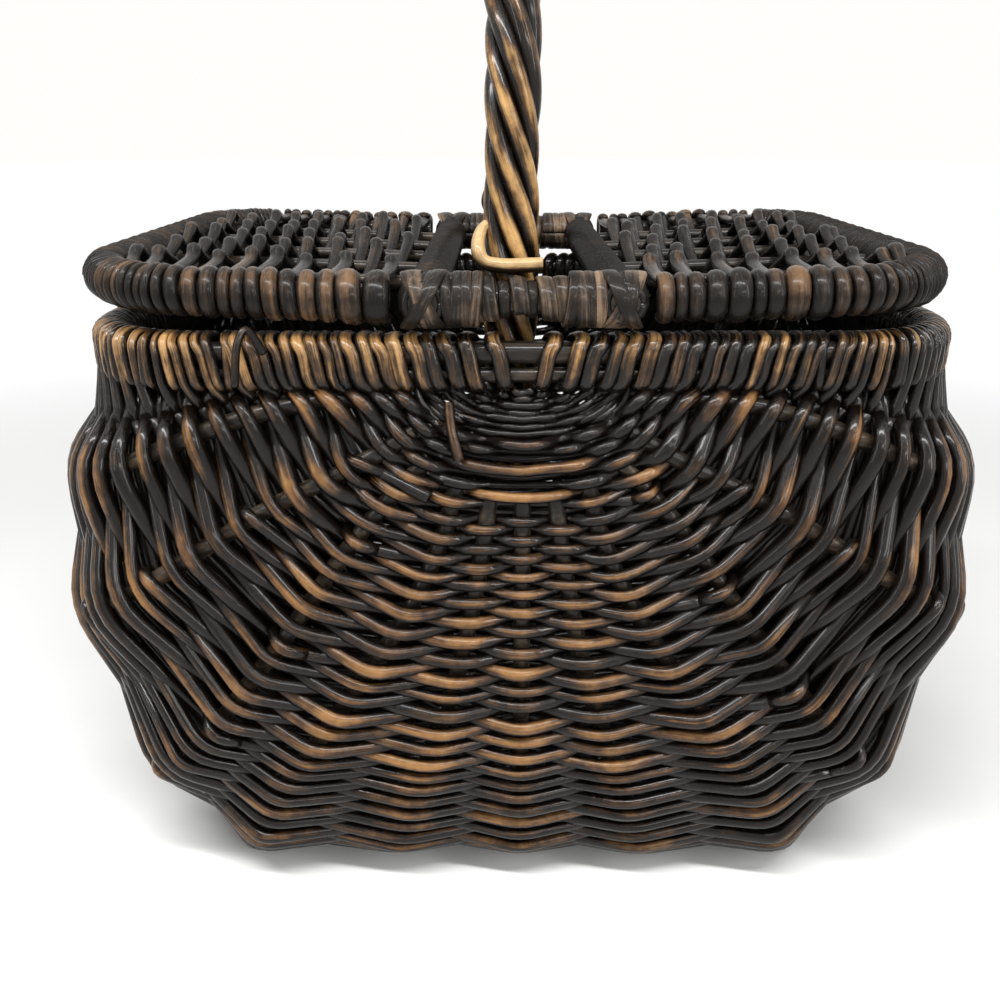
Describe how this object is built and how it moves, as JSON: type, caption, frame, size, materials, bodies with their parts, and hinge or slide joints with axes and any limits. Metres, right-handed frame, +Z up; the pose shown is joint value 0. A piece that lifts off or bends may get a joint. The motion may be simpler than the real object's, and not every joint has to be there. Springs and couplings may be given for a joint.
{
  "type": "picnic basket",
  "caption": "Willow rib basket for picnics with a tall twisted handle across its width and two lids that lift from a fixed bridge beside the handle.",
  "frame": {"origin": "on the ground under the middle of the basket, at the middle of the bounding box's base", "axes": "+X towards the right-hand lid, +Y from the front to the back, +Z up"},
  "size_m": [0.4172, 0.2926, 0.4526],
  "materials": {
    "body_willow": "satin, dark stain rubbed through to tan on the high spots",
    "lid_willow": "satin, dark stain",
    "rib_wood": "matt, dark stain",
    "split_willow": "satin, dark stain",
    "handle_willow": "satin, worn to golden brown",
    "tie_withy": "satin, worn to gold"
  },
  "bodies": {
    "basket": {"rim_rod": "rib_wood", "rim_lower_rod": "rib_wood", "rim_binding": "body_willow", "keel_rib": "rib_wood", "rib_right_1": "rib_wood", "rib_left_1": "rib_wood", "rib_right_2": "rib_wood", "rib_left_2": "rib_wood", "rib_right_3": "rib_wood", "rib_left_3": "rib_wood", "rib_right_4": "rib_wood", "rib_left_4": "rib_wood", "rib_right_5": "rib_wood", "rib_left_5": "rib_wood", "weave_front": "body_willow", "weave_back": "body_willow", "handle_core": "handle_willow", "handle_strand_1": "handle_willow", "handle_strand_2": "handle_willow", "handle_strand_3": "handle_willow", "handle_strand_4": "handle_willow", "handle_strand_5": "handle_willow", "handle_strand_6": "handle_willow", "ear_front": "body_willow", "handle_lashing_front": "split_willow", "bridge_bar_front": "rib_wood", "bridge_binding_front": "split_willow", "tie_front": "tie_withy", "hinge_lashing_front_left": "split_willow", "hinge_lashing_front_right": "split_willow", "ear_back": "body_willow", "handle_lashing_back": "split_willow", "bridge_bar_back": "rib_wood", "bridge_binding_back": "split_willow", "tie_back": "tie_withy", "hinge_lashing_back_left": "split_willow", "hinge_lashing_back_right": "split_willow"},
    "left_lid": {"lid_left_hinge_bar": "rib_wood", "lid_left_bar_binding": "split_willow", "lid_left_border_rod": "rib_wood", "lid_left_stakes": "lid_willow", "lid_left_weave": "lid_willow"},
    "right_lid": {"lid_right_hinge_bar": "rib_wood", "lid_right_bar_binding": "split_willow", "lid_right_border_rod": "rib_wood", "lid_right_stakes": "lid_willow", "lid_right_weave": "lid_willow"}
  },
  "joints": [
    {"name": "left_lid_hinge", "type": "hinge", "parent": "basket", "child": "left_lid", "pos_m": [-0.038, 0, 0.277], "axis": [0, 1, 0], "range_deg": [0, 93]},
    {"name": "right_lid_hinge", "type": "hinge", "parent": "basket", "child": "right_lid", "pos_m": [0.038, 0, 0.277], "axis": [0, -1, 0], "range_deg": [0, 97]}
  ]
}
